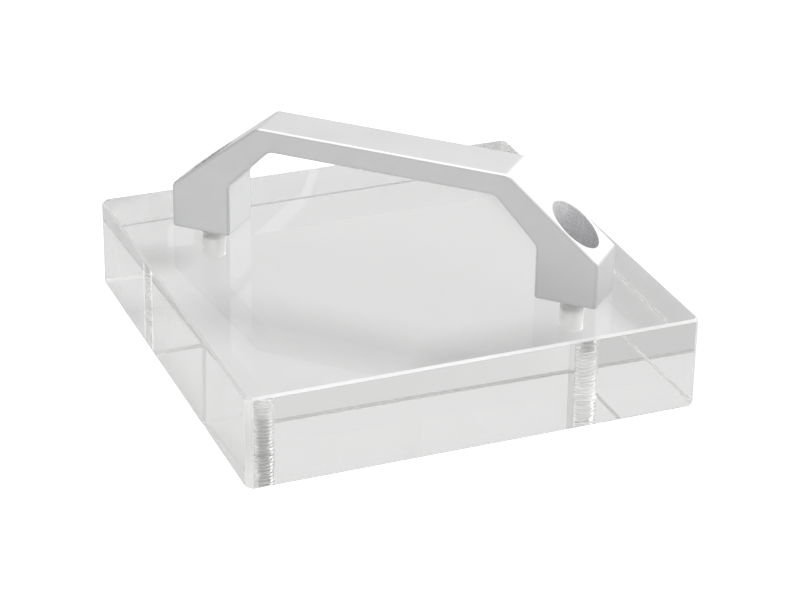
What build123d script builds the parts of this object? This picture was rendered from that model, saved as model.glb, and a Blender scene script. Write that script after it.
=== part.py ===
from build123d import *
import os

# Hand press block of a manual capsule filling board: a clear acrylic block that is pushed down by a
# bow handle to press the filled capsules level and closed.
#
# Frame: millimetres, +Z up, origin at the centre of the pressing face (the block's underside).
# X and Y run along the block's edges. The handle runs along the block's diagonal, from the
# (-X, +Y) corner, called left, to the (+X, -Y) corner, called right.

# Block
block_side = 118.4
block_thickness = 24.6
block_edge_chamfer = 0.6
block_corner_chamfer = 1.4

# Handle, in its own upright plane: lengths run along the diagonal, heights are above its feet
handle_angle = -45.0
screw_pitch = 100.0
handle_length = 117.0
handle_width = 13.5
handle_height = 32.0
top_flat_length = 68.4
shoulder_height = 12.2
grip_gap_at_feet = 84.4
grip_gap_at_top = 61.6
grip_leg_height = 14.2
grip_height = 25.9
foot_corner_radius = 0.8
shoulder_radius = 2.1
top_corner_radius = 2.9
grip_leg_radius = 2.1
grip_corner_radius = 3.3
handle_edge_break = 0.4
counterbore_diameter = 11.8
counterbore_rim_break = 0.2
handle_foot_floor = 3.0
clearance_hole_diameter = 6.6

# M6 fixings
thread_diameter = 6.0
screw_length = 16.0
screw_head_diameter = 10.0
screw_head_height = 6.0
screw_head_edge = 0.6
screw_tip_chamfer = 0.8
socket_across_flats = 5.0
socket_depth = 3.0
spring_washer_outer = 9.9
spring_washer_inner = 6.2
spring_washer_thickness = 1.6
spring_washer_split = 1.0
spring_washer_split_angle = 20.0

# Fits
thread_clearance = 0.05
hole_mouth_chamfer = 0.2

# Derived heights and radii
handle_foot_z = block_thickness
spring_washer_z = handle_foot_z + handle_foot_floor
screw_seat_z = spring_washer_z + spring_washer_thickness
thread_radius = thread_diameter / 2
screw_shank_radius = thread_radius - thread_clearance

LEFT = -1
RIGHT = 1


def on_screw_axis(shape, side, height):
    """Move a shape made about the origin to a screw's axis, at a height above the pressing face."""
    along_handle = Pos(side * screw_pitch / 2, 0, height)
    return Rot(0, 0, handle_angle) * along_handle * shape


def upright_cylinder(radius, height):
    """A cylinder that stands on the XY plane."""
    return Cylinder(radius, height, align=(Align.CENTER, Align.CENTER, Align.MIN))


def chamfered_hole(radius, depth, mouth_chamfer):
    """The tool for a through hole with a chamfered mouth at each end, standing on the XY plane."""
    mouth_radius = radius + mouth_chamfer
    mouth = Cone(mouth_radius, radius, mouth_chamfer, align=(Align.CENTER, Align.CENTER, Align.MIN))
    lower_mouth = mouth
    upper_mouth = Pos(0, 0, depth) * Rot(180, 0, 0) * mouth
    return upright_cylinder(radius, depth) + lower_mouth + upper_mouth


def press_block():
    """Square polished block, all its edges chamfered, with a tapped through hole under each foot."""
    block = Box(block_side, block_side, block_thickness, align=(Align.CENTER, Align.CENTER, Align.MIN))
    block = chamfer(block.edges().filter_by(Axis.Z), block_corner_chamfer)
    rims = block.faces().filter_by(Axis.Z).edges()
    block = chamfer(rims, block_edge_chamfer)
    for side in (LEFT, RIGHT):
        block -= on_screw_axis(chamfered_hole(thread_radius, block_thickness, hole_mouth_chamfer), side, 0)
    return block


def handle_outline():
    """The handle's side view: a bow with sloped shoulders, and a grip opening that is open below."""
    half_corners = [
        (top_flat_length / 2, handle_height, top_corner_radius),
        (handle_length / 2, shoulder_height, shoulder_radius),
        (handle_length / 2, 0, foot_corner_radius),
        (grip_gap_at_feet / 2, 0, foot_corner_radius),
        (grip_gap_at_feet / 2, grip_leg_height, grip_leg_radius),
        (grip_gap_at_top / 2, grip_height, grip_corner_radius),
    ]
    right_half = [(x, z) for x, z, radius in half_corners]
    left_half = [(-x, z) for x, z in reversed(right_half)]
    outline = make_face(Polyline(*right_half, *left_half, close=True))
    for x, z, radius in half_corners:
        here = [v for v in outline.vertices() if abs(abs(v.X) - x) < 0.01 and abs(v.Y - z) < 0.01]
        outline = fillet(here, radius)
    return outline


def bow_handle():
    """Solid aluminium bow with a deep counterbore over each screw, opening on the sloped shoulder."""
    bow = extrude(Plane.XZ * handle_outline(), amount=handle_width / 2, both=True)
    bow = chamfer(bow.faces().filter_by(Axis.Y).edges(), handle_edge_break)
    for side in (LEFT, RIGHT):
        screw_axis = Pos(side * screw_pitch / 2, 0, 0)
        bow -= screw_axis * Pos(0, 0, handle_foot_floor) * upright_cylinder(counterbore_diameter / 2, handle_height)
        bow -= screw_axis * upright_cylinder(clearance_hole_diameter / 2, handle_height)
    shoulder_rims = [
        edge
        for edge in bow.edges().filter_by(GeomType.ELLIPSE)
        if edge.length > counterbore_diameter * 3 and edge.center().Z > shoulder_height
    ]
    bow = chamfer(shoulder_rims, counterbore_rim_break)
    return Rot(0, 0, handle_angle) * Pos(0, 0, handle_foot_z) * bow


def cap_screw(side):
    """Hexagon socket head cap screw: its seat is on the spring washer, its tip is in the block."""
    head = upright_cylinder(screw_head_diameter / 2, screw_head_height)
    head = chamfer(head.edges().sort_by(Axis.Z)[-1], screw_head_edge)
    socket_radius = socket_across_flats / 3**0.5
    socket = extrude(RegularPolygon(socket_radius, 6), amount=socket_depth)
    head -= Pos(0, 0, screw_head_height - socket_depth) * socket
    shank = upright_cylinder(screw_shank_radius, screw_length)
    shank = chamfer(shank.edges().sort_by(Axis.Z)[0], screw_tip_chamfer)
    screw = head + Pos(0, 0, -screw_length) * shank
    return on_screw_axis(screw, side, screw_seat_z)


def spring_washer(side):
    """Spring lock washer on the floor of the counterbore, pressed flat, with its slanting split."""
    ring = upright_cylinder(spring_washer_outer / 2, spring_washer_thickness)
    ring -= upright_cylinder(spring_washer_inner / 2, spring_washer_thickness)
    split = Box(spring_washer_outer, spring_washer_split, spring_washer_thickness * 3)
    split_place = Pos(spring_washer_outer / 2, 0, spring_washer_thickness / 2)
    ring -= split_place * Rot(spring_washer_split_angle, 0, 0) * split
    return on_screw_axis(ring, side, spring_washer_z)


parts = {
    "press_block": press_block(),
    "bow_handle": bow_handle(),
}
for side_name, side in (("left", LEFT), ("right", RIGHT)):
    parts[f"{side_name}_cap_screw"] = cap_screw(side)
    parts[f"{side_name}_spring_washer"] = spring_washer(side)

os.makedirs("parts", exist_ok=True)
for node, shape in parts.items():
    export_step(shape, f"parts/{node}.step")
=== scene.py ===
import math

import bmesh
import bpy
from mathutils import Matrix, Vector


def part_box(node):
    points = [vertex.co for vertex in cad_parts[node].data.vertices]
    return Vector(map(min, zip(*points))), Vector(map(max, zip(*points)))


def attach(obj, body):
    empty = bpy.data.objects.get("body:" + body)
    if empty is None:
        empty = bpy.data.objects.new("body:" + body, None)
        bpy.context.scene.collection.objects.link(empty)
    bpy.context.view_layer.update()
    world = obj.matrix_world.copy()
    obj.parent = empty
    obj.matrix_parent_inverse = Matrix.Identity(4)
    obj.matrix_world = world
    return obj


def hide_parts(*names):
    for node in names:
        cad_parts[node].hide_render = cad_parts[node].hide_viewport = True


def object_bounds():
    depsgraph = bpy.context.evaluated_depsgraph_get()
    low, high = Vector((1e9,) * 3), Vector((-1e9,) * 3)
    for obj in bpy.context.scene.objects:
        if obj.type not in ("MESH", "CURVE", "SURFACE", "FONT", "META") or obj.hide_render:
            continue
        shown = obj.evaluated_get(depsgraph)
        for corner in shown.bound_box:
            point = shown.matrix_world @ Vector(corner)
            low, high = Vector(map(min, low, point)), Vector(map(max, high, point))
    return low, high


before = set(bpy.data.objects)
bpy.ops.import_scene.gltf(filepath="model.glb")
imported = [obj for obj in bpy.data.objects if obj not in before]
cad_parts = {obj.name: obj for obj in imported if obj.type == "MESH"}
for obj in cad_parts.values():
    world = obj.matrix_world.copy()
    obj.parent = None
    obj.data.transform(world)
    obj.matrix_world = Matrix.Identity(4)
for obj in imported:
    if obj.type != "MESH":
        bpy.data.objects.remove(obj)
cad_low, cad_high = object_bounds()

# Lengths are in metres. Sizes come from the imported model's boxes, or are named here in millimetres.
MM = 0.001
# Places closer together than this count as one
SAME_PLACE = 1e-8
SCENE = bpy.context.scene

# ISO metric coarse thread, M6
THREAD_RADIUS = 3.0 * MM
THREAD_PITCH = 1.0 * MM
THREAD_DEPTH = 0.5413 * THREAD_PITCH
THREAD_CLEARANCE = 0.05 * MM
# Half of the outer flat, one flank, and the places where the mesh has a row, as shares of the pitch
THREAD_FLAT = 1 / 16
THREAD_FLANK = 5 / 16
THREAD_STOPS = (-1 / 16, 1 / 16, 7 / 32, 6 / 16, 10 / 16, 25 / 32)
# How much wider than the thread each hole opens, and the bevel at the screws' tips
HOLE_MOUTH = 0.2 * MM
TIP_CHAMFER = 0.8 * MM

# Block edges, as in the CAD
CORNER_CHAMFER = 1.4 * MM
EDGE_CHAMFER = 0.6 * MM
# Air left under the handle's feet, so that the polished top still reflects from inside there
FOOT_GAP = 0.02 * MM

# Screw head, and its counterbore in the handle
COUNTERBORE_RADIUS = 5.9 * MM
HEAD_HEIGHT = 6.0 * MM
SOCKET_APOTHEM = 2.5 * MM
SOCKET_MOUTH = 1.19 * SOCKET_APOTHEM
DRILL_POINT = 2.0 * MM
KNURL_DEPTH = 0.13 * MM
KNURL_COUNT = 48
SCREW_SEGMENTS = KNURL_COUNT * 4
HOLE_SEGMENTS = 96
# Edges that turn by more than this, in degrees, stay sharp on the screws
SHARP_TURN = 28

# The handle's broken edges, and how far from an edge its painted dark line of shade reaches
HANDLE_EDGE_RADIUS = 0.25 * MM
PAINTED_EDGE_SHADE_REACH = 0.6 * MM

ACRYLIC_IOR = 1.49
# The block's finishes, in the order of its material slots. The cut chamfers share one finish;
# the copies at the back of the lower edge and along the top edge are darker, as painted shade
POLISHED, LOW_EDGE_PAINTED_SHADE, TAPPED, CORNER, TOP_EDGE_PAINTED_SHADE = range(5)


# ---------------------------------------------------------------- mesh helpers


def thread_share(angle, z):
    """How deep the thread profile is at a point: 0 on its outer flat, 1 on its inner flat."""
    turn = z / THREAD_PITCH - angle / math.tau
    off_crest = abs(turn - round(turn))
    return min(max((off_crest - THREAD_FLAT) / THREAD_FLANK, 0.0), 1.0)


def point_round(axis, radius, angle, z):
    """A point at a radius and an angle round an upright axis."""
    return (axis.x + radius * math.cos(angle), axis.y + radius * math.sin(angle), z)


def helical_wall(bm, axis, low, high, segments, radius_at, material=0):
    """A wall whose rows follow the thread's helix, cut off by level planes at low and high."""
    stops = len(THREAD_STOPS)
    first_turn = math.floor(low / THREAD_PITCH) - 2
    last_turn = math.ceil(high / THREAD_PITCH) + 2
    rows = [turn + stop for turn in range(first_turn, last_turn) for stop in THREAD_STOPS]
    grid = []
    for row in rows:
        ring = []
        for step in range(segments):
            share = step / segments
            angle = math.tau * share
            z = min(max(THREAD_PITCH * (row + share), low), high)
            radius = radius_at(angle, z)
            ring.append(bm.verts.new(point_round(axis, radius, angle, z)))
        grid.append(ring)
    for row in range(len(rows) - stops - 1):
        for step in range(segments):
            wraps = step + 1 == segments
            next_row = row + stops if wraps else row
            next_step = 0 if wraps else step + 1
            corners = [grid[row][step], grid[next_row][next_step]]
            corners += [grid[next_row + 1][next_step], grid[row + 1][step]]
            if max(v.co.z for v in corners) - min(v.co.z for v in corners) < SAME_PLACE:
                continue
            face = bm.faces.new(corners)
            face.material_index = material
    loose = [v for v in bm.verts if not v.link_faces]
    bmesh.ops.delete(bm, geom=loose, context="VERTS")
    bmesh.ops.remove_doubles(bm, verts=bm.verts[:], dist=SAME_PLACE)


def rim_at(bm, axis, z, reach):
    """The open edges at height z within reach of an upright axis."""

    def on_rim(vertex):
        return abs(vertex.co.z - z) < SAME_PLACE and (vertex.co.xy - axis.xy).length < reach

    return [edge for edge in bm.edges if edge.is_boundary and all(on_rim(v) for v in edge.verts)]


def ring_of(bm, axis, z, radii):
    """A closed ring of new vertices with one radius for each, round an upright axis."""
    step = math.tau / len(radii)
    return [bm.verts.new(point_round(axis, radius, step * i, z)) for i, radius in enumerate(radii)]


def bridge(bm, lower, upper, material=0):
    """Quads between two rings with the same number of vertices."""
    count = len(lower)
    faces = []
    for step in range(count):
        after = (step + 1) % count
        face = bm.faces.new((lower[step], lower[after], upper[after], upper[step]))
        face.material_index = material
        faces.append(face)
    return faces


def finish_piece(name, bm, materials, node):
    """Turns a bmesh into an object that stands for a CAD node."""
    bmesh.ops.recalc_face_normals(bm, faces=bm.faces[:])
    mesh = bpy.data.meshes.new(name)
    bm.to_mesh(mesh)
    bm.free()
    for material in materials:
        mesh.materials.append(material)
    piece = bpy.data.objects.new(name, mesh)
    SCENE.collection.objects.link(piece)
    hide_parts(node)
    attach(piece, "root")
    return piece


# ---------------------------------------------------------------- materials


def grey(level, blue=0.0):
    """A grey that is a little bluer or, below zero, a little warmer."""
    return (level, level, level + blue, 1.0)


class Nodes:
    """Short names for building a node tree."""

    def __init__(self, tree):
        self.tree = tree
        self.tree.nodes.clear()

    def add(self, kind, inputs=None, **settings):
        node = self.tree.nodes.new(kind)
        for key, value in settings.items():
            setattr(node, key, value)
        for key, value in (inputs or {}).items():
            self.feed(node.inputs[key], value)
        return node

    def feed(self, socket, value):
        if isinstance(value, bpy.types.NodeSocket):
            self.tree.links.new(value, socket)
        else:
            socket.default_value = value

    def spread(self, value, low, high, to_low, to_high, **settings):
        """Maps a value from one range to another, without running past it."""
        inputs = {"Value": value, "From Min": low, "From Max": high, "To Min": to_low, "To Max": to_high}
        return self.add("ShaderNodeMapRange", inputs, **settings).outputs["Result"]

    def math(self, operation, first, second):
        return self.add("ShaderNodeMath", {0: first, 1: second}, operation=operation).outputs["Value"]

    def vector_math(self, operation, first, second):
        """Vector arithmetic: a distance or a dot product is a number, and anything else a vector."""
        second_input = "Scale" if operation == "SCALE" else 1
        node = self.add("ShaderNodeVectorMath", {0: first, second_input: second}, operation=operation)
        gives_number = operation in ("DISTANCE", "DOT_PRODUCT")
        return node.outputs["Value" if gives_number else "Vector"]

    def blend(self, share, first, second):
        """A colour between two colours."""
        node = self.add("ShaderNodeMix", data_type="RGBA")
        self.feed(node.inputs["Factor"], share)
        self.feed(node.inputs[6], first)
        self.feed(node.inputs[7], second)
        return node.outputs[2]


class Shader(Nodes):
    """A new material, with its textures placed in the object's own frame."""

    def __init__(self, name):
        self.material = bpy.data.materials.new(name)
        self.material.use_nodes = True
        super().__init__(self.material.node_tree)
        self.output = self.add("ShaderNodeOutputMaterial")
        self.place = self.add("ShaderNodeTexCoord").outputs["Object"]

    def noise(self, scale, detail, roughness=0.6, stretch=None):
        place = self.place
        if stretch:
            place = self.add("ShaderNodeMapping", {"Vector": place, "Scale": stretch}).outputs["Vector"]
        inputs = {"Vector": place, "Scale": scale, "Detail": detail, "Roughness": roughness}
        return self.add("ShaderNodeTexNoise", inputs).outputs["Fac"]

    def bump(self, height, distance, strength, normal=None):
        inputs = {"Height": height, "Distance": distance, "Strength": strength}
        if normal is not None:
            inputs["Normal"] = normal
        return self.add("ShaderNodeBump", inputs).outputs["Normal"]

    def surface(self, shader):
        self.feed(self.output.inputs["Surface"], shader)

    def principled(self, inputs):
        self.surface(self.add("ShaderNodeBsdfPrincipled", inputs).outputs["BSDF"])


def acrylic(name, roughness_low, roughness_high, clearness=1.0, painted_shade=1.0):
    """Cast acrylic with a faint haze. Cut surfaces are rougher and less clear, and scatter white. A
    shade factor below 1 darkens the colour as painted shade.
    """
    s = Shader(name)
    haze = s.noise(45.0, detail=3.0)
    clear = (0.985 * painted_shade, 0.985 * painted_shade, 0.98 * painted_shade, 1.0)
    hazy = (0.965 * painted_shade, 0.97 * painted_shade, 0.965 * painted_shade, 1.0)
    s.principled({
        "Base Color": s.blend(haze, clear, hazy),
        "Roughness": s.spread(haze, 0.45, 0.75, roughness_low, roughness_high),
        "IOR": ACRYLIC_IOR,
        "Transmission Weight": clearness,
    })
    tint = s.add("ShaderNodeVolumeAbsorption", {"Color": (0.86, 0.87, 0.85, 1.0), "Density": 1.5})
    s.feed(s.output.inputs["Volume"], tint.outputs["Volume"])
    return s.material


def satin_aluminium(screw_axes):
    """Bead-blasted and anodised aluminium with painted shade as dark edge lines, and rougher inside the
    counterbores.
    """
    s = Shader("satin_aluminium")
    grain = s.noise(4200.0, detail=2.0)
    patches = s.noise(90.0, detail=3.0)
    mottle = s.noise(2800.0, detail=2.0, roughness=0.7)

    level = s.vector_math("MULTIPLY", s.place, (1.0, 1.0, 0.0))
    bored = 0.0
    for axis in screw_axes:
        from_axis = s.vector_math("DISTANCE", level, (axis.x, axis.y, 0.0))
        near = s.math("LESS_THAN", from_axis, COUNTERBORE_RADIUS + 0.1 * MM)
        bored = s.math("ADD", bored, near)

    # Painted shade: dark lines beside the edges of every face but those that look up, which the light
    # falls on. The occlusion is taken inside the solid, where it is 1 along a face and falls only near
    # an edge.
    edge_normal = s.add("ShaderNodeBevel", {"Radius": HANDLE_EDGE_RADIUS}, samples=4).outputs["Normal"]
    reach = {"Distance": PAINTED_EDGE_SHADE_REACH}
    depth = s.add("ShaderNodeAmbientOcclusion", reach, inside=True, only_local=True, samples=8)
    painted_edge_shade = s.spread(depth.outputs["AO"], 0.55, 0.95, 1.0, 0.0)
    upward = s.add("ShaderNodeSeparateXYZ", {"Vector": edge_normal}).outputs["Z"]
    painted_edge_shade = s.math("MULTIPLY", painted_edge_shade, s.spread(upward, 0.15, 0.45, 1.0, 0.0))

    blasted = s.blend(patches, grey(0.80, 0.01), grey(0.76, 0.005))
    # A painted dark line of shade along the edges
    blasted = s.blend(painted_edge_shade, blasted, grey(0.26, 0.01))
    turned = s.blend(s.spread(mottle, 0.3, 0.7, 0.0, 1.0), grey(0.94, 0.01), grey(0.60, 0.01))
    patchy = s.spread(patches, 0.3, 0.7, 0.35, 0.41)
    s.principled({
        "Base Color": s.blend(bored, blasted, turned),
        "Metallic": s.spread(bored, 0.0, 1.0, 1.0, 0.6),
        "Roughness": s.math("ADD", patchy, s.math("MULTIPLY", bored, 0.12)),
        "Normal": s.bump(grain, 0.02 * MM, 0.5, edge_normal),
    })
    return s.material


def plain_steel(name, colour, darker, roughness):
    """Stainless steel with turning marks and faint stains."""
    s = Shader(name)
    marks = s.noise(900.0, detail=3.0, stretch=(1.0, 1.0, 6.0))
    stains = s.noise(260.0, detail=3.0)
    s.principled({
        "Base Color": s.blend(stains, colour, darker),
        "Metallic": 1.0,
        "Roughness": s.spread(stains, 0.3, 0.7, roughness, roughness + 0.12),
        "Normal": s.bump(marks, 0.01 * MM, 0.6),
    })
    return s.material


# ---------------------------------------------------------------- the block


def octagon(half_side, inset):
    """A square with cut corners, drawn in by inset on all eight sides, as (x, y) corners."""
    side = half_side - inset
    near = half_side - CORNER_CHAMFER - inset * (math.sqrt(2) - 1)
    points = []
    for cosine, sine in ((1, 0), (0, 1), (-1, 0), (0, -1)):
        for x, y in ((side, near), (near, side)):
            points.append((cosine * x - sine * y, sine * x + cosine * y))
    return points


def block_sides(bm, half_side, low, high):
    """The block's sides and chamfers, with their finishes. It returns the lowest and highest rings."""
    levels = [
        (low, EDGE_CHAMFER),
        (low + EDGE_CHAMFER, 0.0),
        (high - EDGE_CHAMFER, 0.0),
        (high, EDGE_CHAMFER),
    ]
    rings = []
    for z, inset in levels:
        rings.append([bm.verts.new((x, y, z)) for x, y in octagon(half_side, inset)])
    lower_edge = bridge(bm, rings[0], rings[1], CORNER)
    sides = bridge(bm, rings[1], rings[2], CORNER)
    bridge(bm, rings[2], rings[3], TOP_EDGE_PAINTED_SHADE)
    # The back of the lower edge takes a darker copy of the cut finish, as painted shade
    for face in lower_edge:
        face.normal_update()
        if face.normal.y > 0.6:
            face.material_index = LOW_EDGE_PAINTED_SHADE
    for face in sides:
        face.normal_update()
        if max(abs(face.normal.x), abs(face.normal.y)) > 0.99:
            face.material_index = POLISHED
    return rings[0], rings[3]


def press_block(screw_axes):
    """The clear block: polished faces, chamfered edges, and a cut thread in each hole."""
    low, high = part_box("press_block")
    half_side = (high.x - low.x) / 2
    bottom = low.z
    top = high.z - FOOT_GAP
    bm = bmesh.new()

    def hole_radius(angle, z):
        from_end = min(z - bottom, top - z)
        mouth = THREAD_RADIUS + HOLE_MOUTH - from_end
        return max(THREAD_RADIUS - THREAD_DEPTH * thread_share(angle, z), mouth)

    for axis in screw_axes:
        helical_wall(bm, axis, bottom, top, HOLE_SEGMENTS, hole_radius, material=TAPPED)
    rims = []
    for z in (bottom, top):
        rims.append([edge for axis in screw_axes for edge in rim_at(bm, axis, z, 2 * THREAD_RADIUS)])

    end_rings = block_sides(bm, half_side, bottom, top)
    for ring, holes in zip(end_rings, rims):
        outline = [bm.edges.get(pair) for pair in zip(ring, ring[1:] + ring[:1])]
        bmesh.ops.triangle_fill(bm, edges=outline + holes, use_beauty=True)
    # The low and top edge copies are darkened by their shade factor, as painted shade
    finishes = [
        acrylic("clear_acrylic", 0.0, 0.02),
        acrylic("low_edge_acrylic_painted_shade", 0.40, 0.50, clearness=0.85, painted_shade=0.72),
        acrylic("tapped_acrylic", 0.15, 0.22, clearness=0.7),
        acrylic("corner_acrylic", 0.40, 0.50, clearness=0.7),
        acrylic("top_edge_acrylic_painted_shade", 0.40, 0.50, clearness=0.30, painted_shade=0.78),
    ]
    finish_piece("clear_block", bm, finishes, "press_block")


# ---------------------------------------------------------------- the screws


def hexagon_radius(angle):
    """Distance from the middle of the socket to its wall."""
    sixth = math.tau / 6
    return SOCKET_APOTHEM / math.cos((angle % sixth) - sixth / 2)


def head_profile(head_radius):
    """The head's outline from the seat up and into the socket, as (height in mm, radius at an angle)."""

    def turned(radius):
        return lambda angle: radius

    def knurled(angle):
        return head_radius - KNURL_DEPTH * abs(math.sin(angle * KNURL_COUNT / 2))

    return [
        (0.0, turned(0.95 * head_radius)),
        (0.25, turned(head_radius)),
        (0.60, turned(head_radius)),
        (0.75, knurled),
        (4.90, knurled),
        (5.05, turned(head_radius)),
        (5.40, turned(0.985 * head_radius)),
        (5.80, turned(0.94 * head_radius)),
        (6.00, turned(0.87 * head_radius)),
        (6.00, turned(SOCKET_MOUTH)),
        (5.80, hexagon_radius),
        (3.00, hexagon_radius),
    ]


def cap_screw(node, axis, steel):
    """Socket head cap screw with a rolled thread, a knurled head and a hexagon socket."""
    low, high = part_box(node)
    seat = high.z - HEAD_HEIGHT
    head_radius = (high.x - low.x) / 2
    bm = bmesh.new()

    def shank_radius(angle, z):
        crest = THREAD_RADIUS - THREAD_CLEARANCE
        tip = crest - TIP_CHAMFER + (z - low.z)
        return min(crest - THREAD_DEPTH * thread_share(angle, z), tip)

    helical_wall(bm, axis, low.z, seat, SCREW_SEGMENTS, shank_radius)
    bmesh.ops.holes_fill(bm, edges=rim_at(bm, axis, low.z, head_radius), sides=0)
    neck = [v for v in bm.verts if abs(v.co.z - seat) < SAME_PLACE]
    neck.sort(key=lambda v: math.atan2(v.co.y - axis.y, v.co.x - axis.x) % math.tau)

    angles = [math.tau * step / SCREW_SEGMENTS for step in range(SCREW_SEGMENTS)]
    previous = neck
    for height, radius_at in head_profile(head_radius):
        ring = ring_of(bm, axis, seat + height * MM, [radius_at(angle) for angle in angles])
        bridge(bm, previous, ring)
        previous = ring
    drill_point = bm.verts.new((axis.x, axis.y, seat + DRILL_POINT))
    for step in range(SCREW_SEGMENTS):
        bm.faces.new((previous[step], previous[(step + 1) % SCREW_SEGMENTS], drill_point))
    screw = finish_piece(node.replace("cap", "socket_cap"), bm, [steel], node)
    screw.data.shade_smooth()
    screw.data.set_sharp_from_angle(angle=math.radians(SHARP_TURN))


# ---------------------------------------------------------------- assembly


def repaint(node, material):
    """Gives a CAD piece that stays as it is a new material."""
    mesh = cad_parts[node].data
    mesh.materials.clear()
    mesh.materials.append(material)


screw_axes = {}
for side in ("left", "right"):
    low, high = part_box(side + "_cap_screw")
    screw_axes[side] = (low + high) / 2

screw_steel = plain_steel("screw_steel", grey(0.60), grey(0.50), 0.22)
washer_steel = plain_steel("washer_steel", grey(0.66, -0.01), grey(0.56), 0.28)

press_block(screw_axes.values())
for side, axis in screw_axes.items():
    cap_screw(side + "_cap_screw", axis, screw_steel)
    repaint(side + "_spring_washer", washer_steel)
repaint("bow_handle", satin_aluminium(screw_axes.values()))


# ---------------------------------------------------------------- stage, light and camera

FLOOR_HALF_SIZE = 4.0
# Air between the floor and the block, so that the underside reflects from inside
FLOOR_GAP = 0.1 * MM
# The floor's own glow, and what is added where the camera sees it directly, which makes it pure white
FLOOR_GLOW = 0.56
FLOOR_LIFT = 0.8
# The glow fades in one direction along the floor, from the first distance to the second, as a painted
# fall-off of the light
FADE_TOWARD = (-0.83, -0.34, 0.0)
FADE_BETWEEN = (25 * MM, 170 * MM)
FADED_SHARE = 0.8

# The handle's soft shadows on the floor are dimmer stretches of the glow, each losing the share below.
# The key light stands on the right and behind. A shadow shifts away from it by the height of what
# throws it times a spread, which is smaller inside the block, where the light runs steeper.
KEY_FROM = Vector((0.86, 0.51))
KEY_SPREAD_IN_AIR = 0.70
KEY_SPREAD_IN_BLOCK = 0.35
RIGHT_FOOT_SHADE = 0.42
BAR_SHADE = 0.36
LEFT_FOOT_SHADE = 0.42
SIDE_SHADE = 0.30
# Places along the handle, as shares of the way from its middle to the screw in its right foot: the
# bend over that foot, and the end of the bar's shadow, which stops short of the other bend
RIGHT_BEND = 0.68
BAR_SHADOW_END = -0.7 * RIGHT_BEND
# How many shifts away from the right foot its shadow starts
RIGHT_FOOT_START = 1.6
# The left foot's shadow lies between one and two of these steps away from it
LEFT_FOOT_STEP = Vector((-15 * MM, 2 * MM))
# A dimmer band runs along the block's right side
SIDE_BAND_X = 55 * MM
SIDE_BAND_Y = 50 * MM

TENT_GLOW = 0.48
PANEL_SOFTNESS = 0.6
TENT_PANELS = (
    # azimuth from +Y towards +X, elevation, half angle (all in degrees), strength
    (0, 90, 34, 1.45),
    (69, 25, 26, 0.75),
    (110, 25, 26, 0.85),
    (22, 27, 24, 0.25),
    (-25, 27, 24, 0.15),
    (150, 25, 30, 0.1),
    (22, 58, 18, 0.2),
)

# The camera looks along this azimuth, down by this dip, and is turned by the roll, all in degrees
CAMERA_AZIMUTH = 22.55
CAMERA_DIP = 26.783
CAMERA_ROLL = 1.028
CAMERA_PLACE = Vector((-237.27, -579.54, 328.24)) * MM
# Focal length and sensor width in Blender's own millimetres
CAMERA_LENS = 122.09
CAMERA_SENSOR = 36
# A ray may cross this many faces of the clear block and its threads
BOUNCES = 96


def toward(azimuth, elevation):
    """The direction with an azimuth, from +Y towards +X, and an elevation, both in degrees."""
    azimuth = math.radians(azimuth)
    elevation = math.radians(elevation)
    level = math.cos(elevation)
    return Vector((math.sin(azimuth) * level, math.cos(azimuth) * level, math.sin(elevation)))


def shaded_by(s, start, end, half_width, soft, strength):
    """How much of the light a soft bar-shaped shadow between two points on the floor takes away."""
    along = end - start
    offset = s.vector_math("SUBTRACT", s.place, start.to_3d())
    reach = s.vector_math("DOT_PRODUCT", offset, along.to_3d())
    share = s.spread(reach, 0.0, along.length_squared, 0.0, 1.0)
    nearest = s.vector_math("SCALE", along.to_3d(), share)
    away = s.vector_math("DISTANCE", offset, nearest)
    return s.spread(away, half_width - soft, half_width + soft, strength, 0.0)


def key_shadows(s):
    """The soft shadows on the floor that show through the block."""
    handle_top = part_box("bow_handle")[1].z
    block_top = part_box("press_block")[1].z
    right_foot = screw_axes["right"].xy
    left_foot = -right_foot
    block_shift = -KEY_FROM * KEY_SPREAD_IN_BLOCK * block_top
    bar_shift = block_shift - KEY_FROM * KEY_SPREAD_IN_AIR * (handle_top - block_top)
    right_start = right_foot + block_shift * RIGHT_FOOT_START
    right_bend = right_foot * RIGHT_BEND + bar_shift
    bar_end = right_foot * BAR_SHADOW_END + bar_shift
    left_start = left_foot + LEFT_FOOT_STEP
    left_end = left_foot + LEFT_FOOT_STEP * 2
    band_back = Vector((SIDE_BAND_X, SIDE_BAND_Y))
    band_front = Vector((SIDE_BAND_X, -SIDE_BAND_Y))
    return [
        shaded_by(s, band_back, band_front, half_width=6 * MM, soft=4 * MM, strength=SIDE_SHADE),
        shaded_by(s, right_start, right_bend, half_width=8 * MM, soft=9 * MM, strength=RIGHT_FOOT_SHADE),
        shaded_by(s, right_bend, bar_end, half_width=5 * MM, soft=12 * MM, strength=BAR_SHADE),
        shaded_by(s, left_start, left_end, half_width=5 * MM, soft=6 * MM, strength=LEFT_FOOT_SHADE),
    ]


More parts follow.
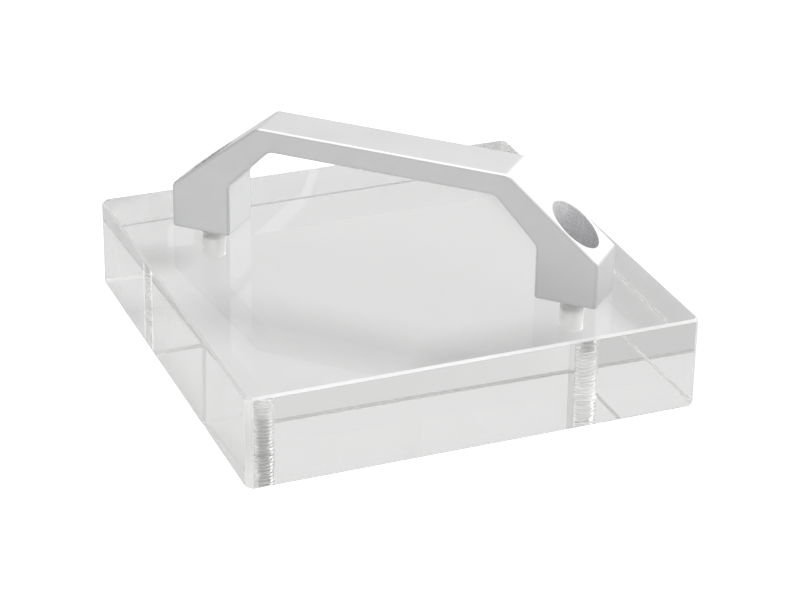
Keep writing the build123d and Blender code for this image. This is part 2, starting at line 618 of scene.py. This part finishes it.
def pale_floor():
    """Paper that also glows, with a painted fall-off of light and painted shadows in its glow. It is
    clear from below, so that a view from beneath shows the block.
    """
    s = Shader("pale_floor")
    fibre = s.noise(500.0, detail=2.0)
    paper = s.add("ShaderNodeBsdfDiffuse", {"Color": s.blend(fibre, grey(0.20), grey(0.18))})
    # The painted fall-off of the light, dimmed further by the painted shadows
    ahead = s.vector_math("DOT_PRODUCT", s.place, FADE_TOWARD)
    painted_shade = s.spread(ahead, *FADE_BETWEEN, 1.0, FADED_SHARE)
    lost = 0.0
    for shadow in key_shadows(s):
        lost = s.math("MAXIMUM", lost, shadow)
    painted_shade = s.math("MULTIPLY", painted_shade, s.math("SUBTRACT", 1.0, lost))
    seen_directly = s.add("ShaderNodeLightPath").outputs["Is Camera Ray"]
    lift = s.math("MULTIPLY", seen_directly, FLOOR_LIFT)
    glow = s.math("ADD", s.math("MULTIPLY", painted_shade, FLOOR_GLOW), lift)
    lamp = s.add("ShaderNodeEmission", {"Strength": glow})
    lit = s.add("ShaderNodeAddShader", {0: paper.outputs["BSDF"], 1: lamp.outputs["Emission"]})
    nothing = s.add("ShaderNodeBsdfTransparent")
    from_below = s.add("ShaderNodeNewGeometry").outputs["Backfacing"]
    sides = {0: from_below, 1: lit.outputs["Shader"], 2: nothing.outputs["BSDF"]}
    s.surface(s.add("ShaderNodeMixShader", sides).outputs["Shader"])
    return s.material


def floor():
    """A plain pale sheet that the block rests on, with a hair of air under the block."""
    bm = bmesh.new()
    bmesh.ops.create_grid(bm, x_segments=8, y_segments=8, size=FLOOR_HALF_SIZE)
    mesh = bpy.data.meshes.new("studio_floor")
    bm.to_mesh(mesh)
    bm.free()
    mesh.materials.append(pale_floor())
    sheet = bpy.data.objects.new("studio_floor", mesh)
    sheet.location = (0, 0, cad_low.z - FLOOR_GAP)
    SCENE.collection.objects.link(sheet)


def studio_world():
    """A white light tent: an even glow with large soft panels in it."""
    world = bpy.data.worlds.new("studio")
    SCENE.world = world
    world.use_nodes = True
    n = Nodes(world.node_tree)
    direction = n.add("ShaderNodeTexCoord").outputs["Generated"]
    total = TENT_GLOW
    for azimuth, elevation, half_angle, strength in TENT_PANELS:
        facing = n.vector_math("DOT_PRODUCT", direction, toward(azimuth, elevation))
        outer = math.cos(math.radians(half_angle * (1 + PANEL_SOFTNESS)))
        inner = math.cos(math.radians(half_angle * (1 - PANEL_SOFTNESS)))
        panel = n.spread(facing, outer, inner, 0.0, strength, interpolation_type="SMOOTHSTEP")
        total = n.math("ADD", total, panel)
    background = n.add("ShaderNodeBackground", {"Color": grey(1.0), "Strength": total})
    n.add("ShaderNodeOutputWorld", {"Surface": background.outputs["Background"]})


def camera():
    """Long lens, from the front left and above."""
    forward = toward(CAMERA_AZIMUTH, -CAMERA_DIP)
    right = toward(CAMERA_AZIMUTH + 90, 0)
    up = right.cross(forward)
    roll = math.radians(CAMERA_ROLL)
    turned_right = right * math.cos(roll) + up * math.sin(roll)
    turned_up = up * math.cos(roll) - right * math.sin(roll)
    data = bpy.data.cameras.new("camera")
    data.sensor_width = CAMERA_SENSOR
    data.lens = CAMERA_LENS
    data.clip_start = 0.01
    data.clip_end = 50
    place = Matrix((turned_right, turned_up, -forward)).transposed().to_4x4()
    place.translation = CAMERA_PLACE
    cam = bpy.data.objects.new("camera", data)
    cam.matrix_world = place
    SCENE.collection.objects.link(cam)
    SCENE.camera = cam


floor()
studio_world()
camera()

SCENE.view_settings.view_transform = "Standard"
SCENE.cycles.use_denoising = True
SCENE.cycles.max_bounces = BOUNCES
SCENE.cycles.transmission_bounces = BOUNCES
SCENE.cycles.glossy_bounces = BOUNCES
SCENE.cycles.blur_glossy = 0.0
